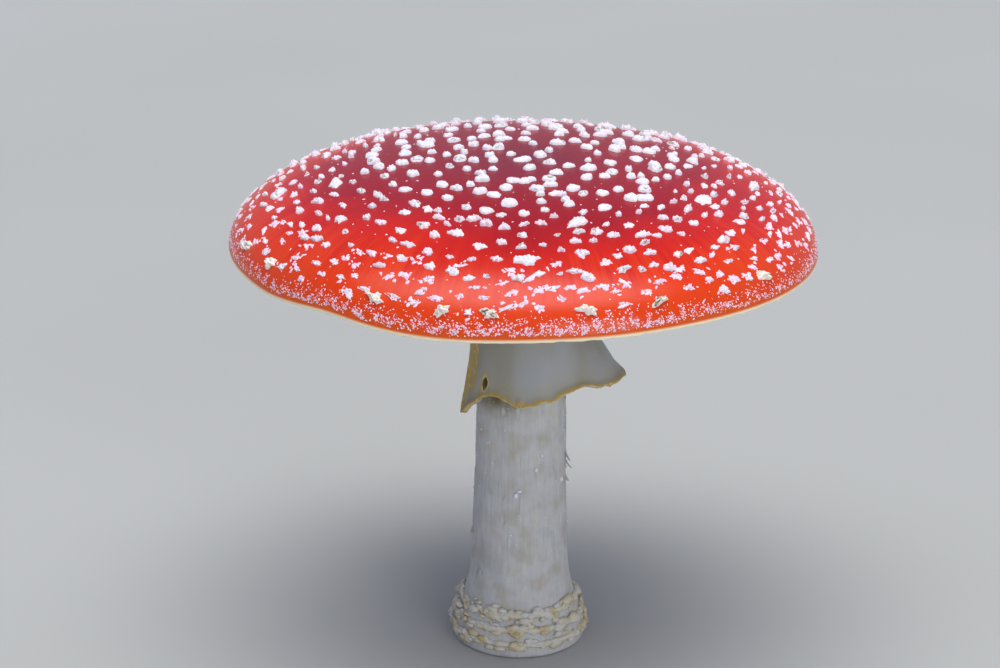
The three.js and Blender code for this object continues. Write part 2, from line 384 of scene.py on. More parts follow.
# %% Cap material
def cuticle():
    """Pigmented jelly: smooth, so it mirrors the warts, with threads that run outwards inside it."""
    material, tree, place = new_material(
        "Moist_red_cuticle",
        roughness=0.4, specular_IOR_level=0.15, coat_weight=0.37, coat_roughness=0.1, IOR=1.4,
    )
    to_margin = add_node(tree, "Attribute", out="Fac", attribute_name="to_margin")

    # Threads 0.9 mm apart and much longer than that: noise that hardly changes on its way outwards.
    flat = add_node(tree, "VectorMath", {0: place, 1: (1, 1, 0)}, operation="MULTIPLY")
    ray = add_node(tree, "VectorMath", {0: flat}, operation="NORMALIZE")
    rim = add_node(tree, "VectorMath", {0: ray, "Scale": CAP_RADIUS * MM}, operation="SCALE")
    slow = add_node(tree, "Math", {0: to_margin, 1: 0.06 * MM}, operation="MULTIPLY")
    outward = add_node(tree, "CombineXYZ", {"Z": slow})
    drawn = add_node(tree, "VectorMath", {0: rim, 1: outward}, operation="ADD")
    fine = add_node(tree, "TexNoise", sized(drawn, 0.9, 3))
    broad = add_node(tree, "TexNoise", sized(drawn, 3, 1))
    threads = add_node(tree, "Mix", {0: 0.5, 2: fine, 3: broad})

    # How deep the pigment is, in millimetres from the margin: pushed about by clouds and threads,
    # both of them less and less towards the margin, so that no bare flesh breaks out above the lip.
    cloud_noise = add_node(tree, "TexNoise", sized(place, 32))
    clouds = add_node(tree, "MapRange", {0: cloud_noise, **NOISE_RANGE, 3: -7, 4: 7})
    inner = add_node(tree, "MapRange", {0: to_margin, 1: 2, 2: 30})
    moved = add_node(tree, "Math", {0: clouds, 1: inner, 2: to_margin}, operation="MULTIPLY_ADD")
    streaks = add_node(tree, "MapRange", {0: threads, **NOISE_RANGE, 3: -8, 4: 8})
    outer = add_node(tree, "MapRange", {0: to_margin, 1: 0.8, 2: 16})
    fading = add_node(tree, "MapRange", {0: to_margin, 1: 34, 2: 14})
    zone = add_node(tree, "Math", {0: outer, 1: fading}, operation="MULTIPLY")
    depth = add_node(tree, "Math", {0: streaks, 1: zone, 2: moved}, operation="MULTIPLY_ADD")
    share = add_node(tree, "MapRange", {0: depth, 1: -1, 2: 89})
    stops = [
        (0.0, "#FBF2DC"), (0.013, "#FFEDC0"), (0.017, "#D8560A"), (0.05, "#D84006"), (0.15, "#DA3608"),
        (0.28, "#C91B0A"), (0.46, "#A00813"), (0.70, "#930A17"), (1.0, "#7C0A20"),
    ]
    pigment = add_node(tree, "ValToRGB", {"Fac": share}, stops)

    # Shallow relief: the threads, and a faint unevenness of the jelly all over. In life it is finer
    # than a tenth of a millimetre; too fine to show, so it is drawn 2.2 mm across.
    ribs = add_node(tree, "Bump", {"Height": threads, "Strength": 0.25, "Distance": 0.3 * MM})
    lumps = add_node(tree, "TexNoise", sized(place, 2.2))
    return finished(material, pigment, lumps, strength=0.15, depth=0.2, over=ribs)


# %% [markdown]
# ### From skin to lip to flesh
#
# The cap is one closed body: the skin curls over a thin lip at the margin, and the flesh runs back
# above the gills. Two pieces could meet at the lip, but a seam would show there, so one grid goes all
# the way, with its rows set close together where the curve is tight.

# %% Cap mesh
LIP = 1.3  # thickness of the flesh at the margin
FLESH_AT_MARGIN, FLESH_AT_CENTRE = 1.6, 12.6
BARE = -3.0  # the distance to the margin that stands for flesh without pigment


def flesh_height(radius):
    """The underside of the flesh, where the gills grow."""
    share = np.minimum(radius / CAP_RADIUS, 1)
    thickness = FLESH_AT_MARGIN + (FLESH_AT_CENTRE - FLESH_AT_MARGIN) * (1 - share) ** 1.15
    return MARGIN_HEIGHT + CAP_RISE * np.sqrt(1 - share**CAP_FULLNESS) - thickness


def cap():
    columns = 400
    angle = all_round(columns)
    ray = on_map(1, angle)
    # Rings round the crown, and closer ones over the last 8 mm, where the skin curls.
    alongs = np.concatenate([np.linspace(0.4, SKIN - 8, 90), np.linspace(SKIN - 7.8, SKIN, 34)])
    rows = [on_cap(along * ray) for along in alongs]
    to_margin = [SKIN - along for along in alongs]

    # The lip: how far in from the rim and down from the margin each of its rings lies. On it, the
    # distance to the margin counts on below 0.
    lip = [(0.05, 0.25), (0.2, 0.45), (0.5, 0.55), (0.85, 0.5), (1.1, 0.2), (LIP, -0.6)]
    rim = CAP_RADIUS * ray
    ragged = 0.13 * ripples(rim, 4.5, 3) + 0.09 * ripples(rim, 1.3, 4)
    for number, (inward, drop) in enumerate(lip):
        fade = 1 - number / len(lip)
        height = MARGIN_HEIGHT - drop + margin_wave(angle) + ragged * fade
        rows.append(turned(angle, CAP_RADIUS - inward, height))
        to_margin.append(-0.3 - 0.3 * number)
    for radius in np.linspace(CAP_RADIUS - LIP, 0.5, 22):
        rows.append(turned(angle, radius, flesh_height(radius) + margin_wave(angle, radius)))
        to_margin.append(BARE)

    points = np.concatenate([on_cap(np.full((1, 2), 1e-6)), *rows])
    crown = [(0, 1 + column, 1 + (column + 1) % columns) for column in range(columns)]
    last = 1 + (len(rows) - 1) * columns
    middle = tuple(range(last + columns - 1, last - 1, -1))
    faces = [*crown, *grid_faces(len(rows), columns, start=1), middle]
    attributes = {"to_margin": np.concatenate([[SKIN], np.repeat(to_margin, columns)])}
    add_piece("red_cap", points, faces, cuticle(), "cap_skin", attributes, ["cap"])


cap()

# %% [markdown]
# ## Warts
#
# The warts are what is left of the veil that wrapped the young mushroom. As the cap grew, the veil
# broke into crumbs: thick rounded ones at the crown, lower ones with drawn-out corners further down,
# cracked flakes at the shoulder, and a dust of flecks above the margin with a few cream knobs over it.
# Copies of one wart would look stamped, so one function grows them all at once from random numbers:
# lumps that stand against each other like popcorn, inside an outline with corners. A few sizes turn it
# into each kind.


# %% Veil material
def veil(name, face, thin_face, shade_colour):
    """Dry felt of threads: matt, darkened in its creases as painted shade, and rosy where the skin shows
    through.
    """
    # Its threads are finer than a hair and too fine to show, so little crumbs of 0.6 mm stand for them.
    material, tree, place = new_material(
        name, roughness=0.85, subsurface_weight=0.15, subsurface_scale=0.8 * MM, IOR=1.4
    )
    thin = add_node(tree, "Attribute", out="Fac", attribute_name="thin")
    crease_shade = add_node(tree, "Attribute", out="Fac", attribute_name="crease_shade")
    fibres = add_node(tree, "TexNoise", sized(place, 0.6, 3))
    felt = add_node(tree, "Mix", {0: thin, 6: face, 7: thin_face}, **BLEND)
    tone = add_node(tree, "MapRange", {0: fibres, **NOISE_RANGE, 3: 0.88, 4: 1.04})
    mottled = add_node(tree, "Mix", {0: 1.0, 6: felt, 7: tone}, **DARKEN)
    # Painted shade: the creases are mixed towards a darker colour.
    crease_shaded = add_node(tree, "Mix", {0: crease_shade, 6: mottled, 7: shade_colour}, **BLEND)
    return finished(material, crease_shaded, fibres, strength=0.5, depth=0.15)


# The last colour of each veil is painted shade for its creases.
WHITE_VEIL = veil("Felted_white_veil", "#EFEBF2", "#FDCCE2", "#8D9080")
CREAM_VEIL = veil("Weathered_cream_veil", "#FBF4E8", "#F0C9C4", "#7A6F55")


# %% Outline of a crumb
def ragged_outlines(pick, columns, corners, reach, horns, ragged):
    """Each crumb's reach at each angle, about 1: round, drawn out into corners, and ragged all along."""
    around = all_round(columns)
    outline = 1.0
    for number in range(corners + 2):
        is_horn = number >= corners  # the last two point to the left and the right
        at = (number - corners) * math.pi + pick(-0.4, 0.4, 1) if is_horn else pick(0, TURN, 1)
        off = np.abs(short_way(around - at))
        length = (horns if is_horn else reach) * pick(0.3, 1.1, 1)
        outline = outline + length * np.exp(-off / pick(0.14, 0.3, 1))
    for waves in (3, 5, 8):
        outline += 0.4 / waves * ragged * pick(-1, 1, 1) * np.cos(waves * around + pick(0, TURN, 1))
    return outline / outline.mean(axis=1, keepdims=True)


# %% Relief of a crumb
def lumpy_relief(pick, u, v, lumps, steep):
    """
    Each crumb's height over a disc of radius 1, up to about 1: the highest of a few round lumps, one of
    them in the middle. Also tells where two lumps meet in a crease.
    """
    lump_u, lump_v = pick(-0.5, 0.5, lumps, 1, 1), pick(-0.5, 0.5, lumps, 1, 1)
    size, top = pick(0.55, 1.0, lumps, 1, 1), pick(0.55, 1.0, lumps, 1, 1)
    lump_u[:, 0] *= 0.4
    lump_v[:, 0] *= 0.4
    size[:, 0], top[:, 0] = 1.15, 1.0
    heights = np.sort(top * (1 - ((u - lump_u) ** 2 + (v - lump_v) ** 2) / size**2), axis=1)
    gap = heights[:, -1] - heights[:, -2] if lumps > 1 else np.ones_like(heights[:, -1])
    side = (1 - np.minimum(np.hypot(u, v), 0.999) ** steep) ** (1 / max(steep - 1, 1))
    return side * (0.3 + 0.7 * np.sqrt(np.clip(heights[:, -1], 0, 1))), np.exp(-((gap / 0.07) ** 2))


# %% Crumbs
def rings_and_peak(values):
    """A row for each crumb: its rings, and then one value for the peak, where the first ring shrinks."""
    return np.concatenate([values[:, 1:].reshape(len(values), -1), values[:, 0, :1]], axis=1)


def crumb_faces(count, rows, columns):
    """Faces of many crumbs: the rings of each, and a fan to its peak, which is its last point."""
    rings = grid_faces(rows, columns)
    peak = rows * columns
    column = np.arange(columns)
    fan = np.stack([np.full(columns, peak), column, (column + 1) % columns], axis=1)
    first = (peak + 1) * np.arange(count)[:, None, None]
    return [*(rings + first).reshape(-1, 4), *(fan + first).reshape(-1, 3)]


def crumbs(spots, seed, wide, slim, tall, corners, reach, lumps, steep, horns=0.0, ragged=1.0, crack=0.35,
           turn=0.15, thin=(0.0, 0.0), shaded_share=0.0, rows=8, columns=24):
    """
    Crumbs of veil at spots of the map. They are wide round the cap and slim outwards, as a share of
    that; corners and horns draw the outline out, and steep sides rise to lumps of different heights.
    Cracks part the lumps, down into the skin if crack is above 1, and in a share of the crumbs their
    creases are darkened as painted shade. Gives their points and faces, and how much painted crease
    shade and how thin each point is.
    """
    rng = np.random.default_rng(seed)
    count = len(spots)

    def pick(low, high, *shape):
        return rng.uniform(low, high, (count, *shape))

    # The crumb's own disc: rings from the peak to the foot, which goes a little way into the skin.
    share = (np.linspace(0, 1, rows + 1) ** 0.75)[:, None]
    around = all_round(columns)
    u, v = share * np.cos(around), share * np.sin(around)
    relief, crease = lumpy_relief(pick, u, v, lumps, steep)
    lift = pick(*tall, 1, 1) * relief * (1 - crack * crease)
    lift[:, -1] = -0.06

    # Onto the map: across and out from each spot, with the map's stretch undone.
    radius = pick(*wide, 1, 1) / 2 * ragged_outlines(pick, columns, corners, reach, horns, ragged)[:, None, :]
    values = (u * radius, v * radius * pick(*slim, 1, 1), lift, crease * (share < 0.85))
    x, y, lift, crease = [rings_and_peak(value) for value in values]
    heading = pick(-turn, turn, 1) * math.pi
    x, y = x * np.cos(heading) - y * np.sin(heading), x * np.sin(heading) + y * np.cos(heading)
    along = np.maximum(np.hypot(spots[:, 0], spots[:, 1]), 1e-3)[:, None]
    out = (spots / along)[:, None, :]
    round_about = np.stack([out[..., 1], -out[..., 0]], axis=-1)
    stretch = along / np.interp(along, meridian_s, meridian_r)
    place = spots[:, None, :] + y[..., None] * out + (x * stretch)[..., None] * round_about
    place = place.reshape(-1, 2)

    rough = ripples(place, 1.1, seed + 1) + 0.7 * ripples(place, 0.5, seed + 2)
    lift = lift.ravel() * (1 + 0.18 * ragged * rough * (lift.ravel() > 0))
    # Painted shade: in a share of the crumbs, the creases where lumps meet are darkened.
    crease_shade = ((pick(0, 1, 1) < shaded_share) * crease).ravel()
    thinness = np.repeat(pick(*thin), rows * columns + 1)
    return on_cap(place, lift), crumb_faces(count, rows, columns), crease_shade, thinness


def add_crumbs(name, batches, material, slot, replaces=()):
    """One piece from batches of crumbs; each batch has its spots, its seed and its kind."""
    grown = [crumbs(np.asarray(spots), seed, **kind) for spots, seed, kind in batches]
    points, faces = joined(batch[:2] for batch in grown)
    crease_shade, thin = (np.concatenate([batch[number] for batch in grown]) for number in (2, 3))
    add_piece(name, points, faces, material, slot, {"crease_shade": crease_shade, "thin": thin}, replaces)


# %% [markdown]
# ### Where the warts lie
#
# The thick warts are solids of the frame, so each fine one takes its spot from one of them. The rest
# could sit on a spiral or a grid, but the eye finds such an order at once. They are thrown like darts
# onto the map instead, and a dart that lands too close to another one is taken away again. That gives
# the even but orderless scatter of a veil that tore as the cap grew.

# %% Scatter
rng = np.random.default_rng(7)


def spot_of(name):
    """The spot on the map under one of the frame's warts."""
    low, high = box_of(name)
    middle = (low + high) / 2
    radius, angle = min(np.hypot(*middle[:2]), CAP_RADIUS - 2.5), math.atan2(middle[1], middle[0])
    return on_map(np.interp(radius, meridian_r, meridian_s), angle)


def throw(tries, inner, outer, spacing, taken):
    """Spots between two distances from the crown, clear of the taken ones by about a spacing."""
    spots = [*taken]
    for _ in range(tries):
        spot = on_map(math.sqrt(rng.uniform(inner**2, outer**2)), rng.uniform(0, TURN))
        clear = spacing * rng.uniform(0.7, 1.5)
        if not spots or np.hypot(*(np.array(spots) - spot).T).min() > clear:
            spots.append(spot)
    return spots[len(taken):]


def nodes_of(kind):
    """The names of the frame's warts of one kind."""
    return [name for name in sorted(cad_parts) if name.startswith(kind)]


crown_solids = [spot_of(name) for name in nodes_of("wart_")]
margin_solids = [spot_of(name) for name in nodes_of("margin_wart_")]
taken = crown_solids + margin_solids
crown_more = throw(1200, inner=0, outer=50, spacing=5.3, taken=taken)
field = throw(2200, inner=48, outer=SKIN - 16, spacing=5.0, taken=taken + crown_more)
PAIRED = 0.12  # the share of the crown's warts that broke in two
partners = [spot + rng.normal(0, 2.3, 2) for spot in crown_solids + crown_more if rng.uniform() < PAIRED]
print(len(taken), "warts from the frame,", len(crown_more) + len(partners), "more at the crown,")
print("and", len(field), "in the field")

# %% Warts of the crown and the field
# In the kinds below, one setting gives the share of crumbs whose creases are darkened as painted shade.
ROUNDED = dict(
    wide=(3.4, 4.7), slim=(0.72, 0.95), tall=(1.0, 1.5), corners=3, reach=0.25, lumps=5, steep=4, shaded_share=0.25
)
SMALL_ROUNDED = dict(ROUNDED, wide=(2.4, 4.2), tall=(0.8, 1.2))
POINTED = dict(
    wide=(3.0, 5.8), slim=(0.55, 0.85), tall=(0.8, 1.4), corners=6, reach=0.6, horns=0.4, ragged=1.8,
    lumps=6, steep=3.5, shaded_share=0.3, columns=36,
)
SMALL_POINTED = dict(POINTED, wide=(1.7, 3.5), tall=(0.5, 1.2), thin=(0.0, 0.25))
ROUNDED_REACH = 44  # nearer to the crown than this, the warts are rounded


def split(spots):
    """The spots of rounded warts near the crown, and those of pointed ones further out."""
    near = [spot for spot in spots if np.hypot(*spot) < ROUNDED_REACH]
    return near, [spot for spot in spots if np.hypot(*spot) >= ROUNDED_REACH]


near, far = split(crown_solids)
near_more, far_more = split(crown_more + partners)
batches = [(near, 11, ROUNDED), (far, 12, POINTED)]
batches += [(near_more, 13, SMALL_ROUNDED), (far_more, 14, SMALL_POINTED)]
add_crumbs("crown_warts", batches, WHITE_VEIL, "wart_veil", nodes_of("wart_"))
add_crumbs("field_warts", [(field, 15, SMALL_POINTED)], WHITE_VEIL, "wart_veil")
CREAM_KNOB = dict(
    wide=(3.4, 4.2), slim=(0.6, 0.78), tall=(1.2, 1.7), corners=8, reach=0.6, horns=0.9, lumps=8, ragged=2,
    steep=3, crack=0.6, shaded_share=0.8, rows=18, columns=56,
)
knobs = [(margin_solids, 16, CREAM_KNOB)]
add_crumbs("margin_warts", knobs, CREAM_VEIL, "margin_wart_veil", nodes_of("margin_wart_"))

# %% [markdown]
# ### Shreds and flecks
#
# Lower down, the veil is only a film, which has split like dry mud. A flake of it is therefore a flat
# crumb whose cracks go down to the skin, with smaller shreds strewn round it, and the last belt above
# the margin is a dust of flecks. A texture could draw them, but they stand up from the skin and catch
# the light, and up close they would look painted. Each fleck is tiny, so a few faces are plenty.


# %% Shreds and flecks
def clusters(centres, seed, pieces, wide, deep):
    """Spots of small crumbs, gathered round centres in clusters that are wider than deep."""
    cluster_rng = np.random.default_rng(seed)
    spots = []
    for centre in centres:
        along = np.hypot(*centre)
        out = centre / along
        size = cluster_rng.uniform(0.5, 1.25)
        for _ in range(cluster_rng.integers(*pieces)):
            aside, outward = cluster_rng.normal(0, 0.32, 2) * (wide * size, deep * size)
            spots.append(centre + outward * out + aside * np.array([-out[1], out[0]]))
    return spots


def drift(spots, seed, reach, scale):
    """Keeps the spots that lie in soft drifts, more of them the further the reach."""
    chance = ripples(spots, scale, seed) + 0.5 * ripples(spots, scale / 3, seed + 1) + reach
    return spots[chance > np.random.default_rng(seed).uniform(-1.2, 1.2, len(spots))]


def belt_of_flecks(count, seed):
    """Spots close above the margin, in a belt that is densest in front."""
    belt_rng = np.random.default_rng(seed)
    angle = belt_rng.uniform(0, TURN, count)
    angle = angle[belt_rng.uniform(size=count) < 0.3 + 0.7 * lobe(angle, FRONT, 55)]
    along = SKIN - np.minimum(1.1 + belt_rng.gamma(2.5, 0.85, len(angle)), 14)
    return drift(on_map(along, angle), seed, reach=-0.25, scale=3.6)


FLAKE = dict(
    wide=(1.4, 3.6), slim=(0.4, 0.7), tall=(0.2, 0.45), corners=6, reach=0.8, horns=0.4, lumps=6, ragged=2.2,
    steep=6, crack=1.6, turn=0.2, thin=(0.0, 0.65), rows=7, columns=28,
)
SHRED = dict(
    wide=(0.5, 1.8), slim=(0.4, 0.8), tall=(0.1, 0.35), corners=3, reach=0.8, lumps=1, ragged=1.5, steep=2.5,
    turn=1.0, thin=(0.3, 1.0), rows=2, columns=9,
)
FLECK = dict(
    wide=(0.25, 1.0), slim=(0.35, 0.8), tall=(0.06, 0.2), corners=1, reach=0.6, lumps=1, steep=2.0, turn=1.0,
    thin=(0.3, 1.0), rows=1, columns=5,
)
middles = throw(2200, inner=SKIN - 22, outer=SKIN - 6.5, spacing=3.9, taken=taken + field)
shred_spots = clusters(middles, 17, pieces=(2, 11), wide=3.8, deep=1.9)
strays = throw(500, inner=30, outer=SKIN - 12, spacing=2.4, taken=taken + crown_more + field)
shreds = [(middles, 22, FLAKE), (shred_spots, 18, SHRED)]
add_crumbs("shoulder_shreds", shreds, WHITE_VEIL, "wart_veil")
fleck_spots = belt_of_flecks(25000, 19)
stray_kind = dict(FLECK, wide=(0.4, 1.3), thin=(0.1, 0.6))
add_crumbs("margin_flecks", [(fleck_spots, 20, FLECK), (strays, 21, stray_kind)], WHITE_VEIL, "wart_veil")

# %% [markdown]
# ## Gills
#
# A gill is a leaf of soft flesh less than half a millimetre thick. Long ones run from near the stem
# to the margin, and shorter ones fill the gaps as the circle widens. An Array modifier could repeat
# one of them, but then all would hang alike, so each is made by itself with its own sway and depth.


# %% Gill material
# Soft, dry and slightly see-through flesh, white with a breath of cream. It is as fine-grained as
# bread; a grain of 1.1 mm is the finest that still shows.
GILL_FLESH = clouded(
    "Soft_white_gill_flesh",
    clouds=(11, 3), stops=[(0.35, "#F3F0E6"), (0.53, "#F1ECDE"), (0.65, "#EDE5D0")],
    grain=[1.1], relief=(0.25, 0.1),
    roughness=0.6, subsurface_weight=0.2, subsurface_scale=2 * MM, IOR=1.4,
)

# %% Gill mesh
GILL_INNER, GILL_OUTER = 15.5, CAP_RADIUS - 1.8
GILL_ROOT = 0.8  # thickness of the layer that carries them
LONG_GILLS = 112
GILL_KINDS = [(0, 15.8, 10.6), (0.5, 34, 9.6), (0.25, 58, 7.2), (0.75, 58, 7.2)]  # place, start, depth
gill_rng = np.random.default_rng(23)


def gill(angle, inner, depth):
    """One gill as a thin leaf: down one face, round its free edge and up the other face."""
    steps = 16
    radius = inner + (GILL_OUTER - inner) * (1 - np.cos(np.linspace(0, math.pi, steps))) / 2
    middle, half = (GILL_OUTER + inner) / 2, (GILL_OUTER - inner) / 2
    seed = int(gill_rng.integers(1 << 30))
    hang = depth * np.sqrt(np.maximum(0, 1 - np.abs((radius - middle) / half) ** 5)) + 0.15
    hang *= 1 + 0.04 * ripples(radius[:, None], 9, seed)
    sway = 0.35 * ripples(radius[:, None], 22, seed + 1)
    root = flesh_height(radius) - GILL_ROOT / 2 + margin_wave(angle, radius)
    section = [(-0.2, 0.0), (-0.16, 0.55), (-0.1, 1.0), (0.1, 1.0), (0.16, 0.55), (0.2, 0.0)]
    rows = []
    for half_thickness, down in section:
        aside = half_thickness + sway * (0.3 + 0.7 * down)
        rows.append(turned(angle + aside / radius, radius, root - down * hang))
    points = np.concatenate(rows)
    ends = [[row * steps + end for row in range(len(section))] for end in (0, steps - 1)]
    faces = [*grid_faces(len(section), steps, closed=False)]
    return points, [*faces, np.array(ends[0][::-1]), np.array(ends[1])]


def gill_root():
    """The layer that carries the gills: a thin closed disc with a hole for the stem."""
    columns = 240
    angle = all_round(columns)
    radii = np.linspace(GILL_INNER, GILL_OUTER, 14)
    rings = [(radius, GILL_ROOT) for radius in radii] + [(radius, 0.3) for radius in radii[::-1]]
    rows = [
        turned(angle, radius, flesh_height(radius) - drop + margin_wave(angle, radius))
        for radius, drop in [*rings, rings[0]]
    ]
    return np.concatenate(rows), grid_faces(len(rows), columns)[:, ::-1]


def gills():
    parts = [gill_root()]
    for number in range(LONG_GILLS):
        for offset, inner, depth in GILL_KINDS:
            angle = (number + offset + gill_rng.uniform(-0.06, 0.06)) * TURN / LONG_GILLS
            start = inner + gill_rng.uniform(0, 0.1) * (GILL_OUTER - inner)
            parts.append(gill(angle, start, depth * gill_rng.uniform(0.95, 1.0)))
    add_piece("gill_leaves", *joined(parts), GILL_FLESH, "gill_flesh", replaces=["gills"])


gills()

# %% [markdown]
# ## Stem
#
# The stem is white flesh under a skin of fine lengthwise threads, which has torn here and there into
# small tufts. A bump map alone would leave its outline as straight as a pipe, so the swellings and
# the coarser threads are in the mesh, and only the finest threads are left to the material. Its
# outline is read off the frame's solid, which makes the two agree by themselves.


# %% Stem outline
solid = np.array([v.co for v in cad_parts["stem"].data.vertices]) / MM
distances, heights = np.hypot(solid[:, 0], solid[:, 1]), solid[:, 2]
side = (distances > 11.5) & (heights > 0.5)  # without the two ends
order = np.argsort(heights[side])
stem_heights = np.arange(0, heights[side].max(), 0.5)
facetted = np.interp(stem_heights, heights[side][order], distances[side][order])
stem_radii = np.convolve(np.pad(facetted, 6, mode="edge"), np.ones(13) / 13, mode="valid")
STEM_TOP = stem_heights[-1]


def stem_radius(height):
    return np.interp(height, stem_heights, stem_radii)


print(f"the stem is {2 * stem_radius(60):.1f} mm thick, and {2 * stem_radius(5):.1f} mm at the bulb")


# %% Stem material
def stem_flesh():
    """White flesh whose torn threads lie lengthwise: dull and a little cream in places. Its colour is
    painted grey as the shade under the cap, and browner under the ring's hem as painted shade.
    """
    # Single threads are too fine to show, so they are bundled into strands 0.7 mm wide.
    material, tree, place = new_material(
        "Fibrous_white_stem_flesh", roughness=0.7, subsurface_weight=0.12, subsurface_scale=2 * MM, IOR=1.4
    )
    drawn = add_node(tree, "VectorMath", {0: place, 1: (1, 1, 0.08)}, operation="MULTIPLY")
    threads = add_node(tree, "TexNoise", sized(drawn, 0.7, 4))
    clouds = add_node(tree, "TexNoise", sized(place, 6, 5))
    # The white flesh is painted grey, as the shade under the cap.
    stops = [(0.36, "#B9B6AA"), (0.45, "#BFBEB8"), (0.58, "#C6C7C4"), (0.68, "#C4C1B5")]
    tone = add_node(tree, "ValToRGB", {"Fac": clouds}, stops)
    streak = add_node(tree, "MapRange", {0: threads, **NOISE_RANGE, 3: 0.92, 4: 1.03})
    threaded = add_node(tree, "Mix", {0: 1.0, 6: tone, 7: streak}, **DARKEN)
    hem_shade = add_node(tree, "Attribute", out="Fac", attribute_name="hem_shade")
    # Painted shade: brownish under the ring's hem.
    hem_shaded = add_node(tree, "Mix", {0: hem_shade, 6: threaded, 7: "#6B6540"}, **BLEND)
    return finished(material, hem_shaded, threads, strength=0.25, depth=0.2)


STEM_FLESH = stem_flesh()


# %% Stem mesh
def stem():
    columns, rows = 220, 200
    angle = all_round(columns)
    a, h = (grid.ravel() for grid in np.meshgrid(angle, np.linspace(0.6, STEM_TOP, rows)))
    wrapped = turned(a, 13, h)
    threads = 0.05 * ripples(wrapped, [1.8, 1.8, 30], 31, 40)
    threads += 0.03 * ripples(wrapped, [0.9, 0.9, 14], 32, 40)
    swelling = 0.2 * ripples(wrapped, [12, 12, 26], 33) + 0.06 * ripples(wrapped, [4, 4, 6], 34)
    radius = stem_radius(h) + threads + swelling * np.clip(h / 12, 0, 1)

    # The cut face closes the foot with a small soft arris, and the neck ends inside the cap.
    foot = [turned(angle, r, z) for r, z in ((6, 0), (12, 0), (17, 0), (17.9, 0.05))]
    neck = [turned(angle, r, flesh_height(r) - 0.3) for r in (12.4, 6)]
    points = np.concatenate([*foot, turned(a, radius, h), *neck])
    count = len(foot) + rows + len(neck)

    # Painted brownish shade under the ring's hem, on the left in front; it also darkens the stem seen through
    # the hole.
    angles, heights = np.arctan2(points[:, 1], points[:, 0]), points[:, 2]
    hem_shade = lobe(angles, -122, 32) * np.exp(-(((heights - 77.5) / 7) ** 4))
    hem_shade *= 0.8 + 0.16 * ripples(points, 5, 35)
    lids = [tuple(range(columns - 1, -1, -1)), tuple(range((count - 1) * columns, count * columns))]
    faces = [*grid_faces(count, columns)[:, ::-1], *lids]
    add_piece("white_stem", points, faces, STEM_FLESH, "stem_flesh", {"hem_shade": hem_shade}, ["stem"])


stem()


# %% [markdown]
# ### Slivers and flocks on the stem
#
# Where the young veil tore away it lifted slivers of the stem's skin, fixed above and curled out below,
# and left tiny flocks of its own. A displacement map could roughen the stem, but it can't make a sliver
# stand clear of it. So each sliver is a small bent sheet with a pointed end, and each flock a lump.


# %% Slivers
def stem_tufts():
    """Slivers of the stem's skin, fixed at the top and curled away at their pointed lower end."""
    tuft_rng = np.random.default_rng(41)
    rows, columns = 8, 5
    across, down = (g.ravel() for g in np.meshgrid(np.linspace(-1, 1, columns), np.linspace(0, 1, rows)))
    sheet = grid_faces(rows, columns, closed=False)
    torn = [(-6, 58, 4.5, 1.5), (2, 54, 3.5, 1.9), (-12, 51, 3, 1.2), (-172, 35, 4, 1.1)]
    slivers = [(math.radians(at), height, 2.0, tall, curl) for at, height, tall, curl in torn]
    for _ in range(190):
        at, height = tuft_rng.uniform(0, TURN), 20 + 74 * tuft_rng.beta(1.2, 1.4)
        slivers.append((at, height, *tuft_rng.uniform((0.5, 1.5, 0.05), (1.5, 5.5, 0.45))))
    parts = []
    for angle, height, wide, tall, curl in slivers:
        taper = np.sin(math.pi * np.clip(0.15 + 0.85 * down, 0, 0.97)) ** 0.7
        a = angle + (across * wide * taper / 2 + 0.15 * tuft_rng.normal() * down) / 12.5
        z = height - down * tall
        lift = -0.1 + 0.2 * (1 - across**2) * (1 - down) + curl * down**2
        outside = turned(a, stem_radius(z) + lift, z)
        inside = turned(a, stem_radius(z) + lift - 0.15, z)
        parts += [(outside, sheet), (inside, sheet[:, ::-1])]
    add_piece("stem_tufts", *joined(parts), STEM_FLESH, "stem_flesh")


stem_tufts()

# %% [markdown]
# ## Ring
#
# The ring is the membrane that closed the gills in while the mushroom was young. Now it hangs from
# the stem like a torn skirt: wide on one side, close to the stem in front, and torn open on the left
# beside a flap. Cloth simulation could drape it, but it grew in this shape and isn't limp, so the
# shape is a formula. It is one thin sheet, and a Solidify modifier thickens it towards the hem, which
# carries ochre flocks of the veil.

# %% Ring form
SKIRT_TOP = box_of("ring")[1][2]
SKIRT_GAP = 0.45  # between stem and ring
HEM_THICKNESS, THINNEST = 1.5, 0.4  # at the hem, and the share of it that the rest of the sheet has
RIBS = 118  # furrows that the gills pressed in
HOLE = {"angle": -133, "height": 79.8, "half_width": 0.9, "half_height": 1.8}
FLAP = {"start": -124, "tip": -170, "end": 145, "drop": 11.2}  # degrees, and mm of drop


def flap(angle):
    """The hem of the flap slants down from its start to its tip, and back up on the torn side."""
    before = short_way(math.radians(FLAP["start"]) - angle)
    after = short_way(angle - math.radians(FLAP["end"]))
    slope = before / math.radians(FLAP["start"] - FLAP["tip"])
    ascent = after / math.radians(360 + FLAP["tip"] - FLAP["end"])
    return np.clip(np.minimum(slope, ascent), 0, 1)


def skirt_drop(angle):
    """How far down the membrane would hang if nothing were torn."""
    drop = 26 + 3.4 * lobe(angle, -91, 22) + 1.2 * lobe(angle, -62, 14) - 2 * lobe(angle, -37, 22)
    drop += FLAP["drop"] * flap(angle) + 1.5 * lobe(angle, 75, 25)
    return drop + 0.3 * np.sin(11 * angle) + 0.2 * np.sin(23 * angle + 1)


def skirt_left(angle):
    """The share of it that is left beside the flap, and at a small nick in front."""
    return 1 - 0.75 * lobe(angle, 170, 26, power=8) - 0.05 * lobe(angle, -91, 1.5)


def skirt_flare(angle):
    spread_out = 7.3 + 4.9 * np.cos(angle) + 2.2 * np.sin(angle) + 2.6 * np.cos(2 * angle)
    return spread_out - 2 * lobe(angle, -55, 25)


def skirt_bend(angle):
    return 1.55 - 0.55 * np.cos(angle)


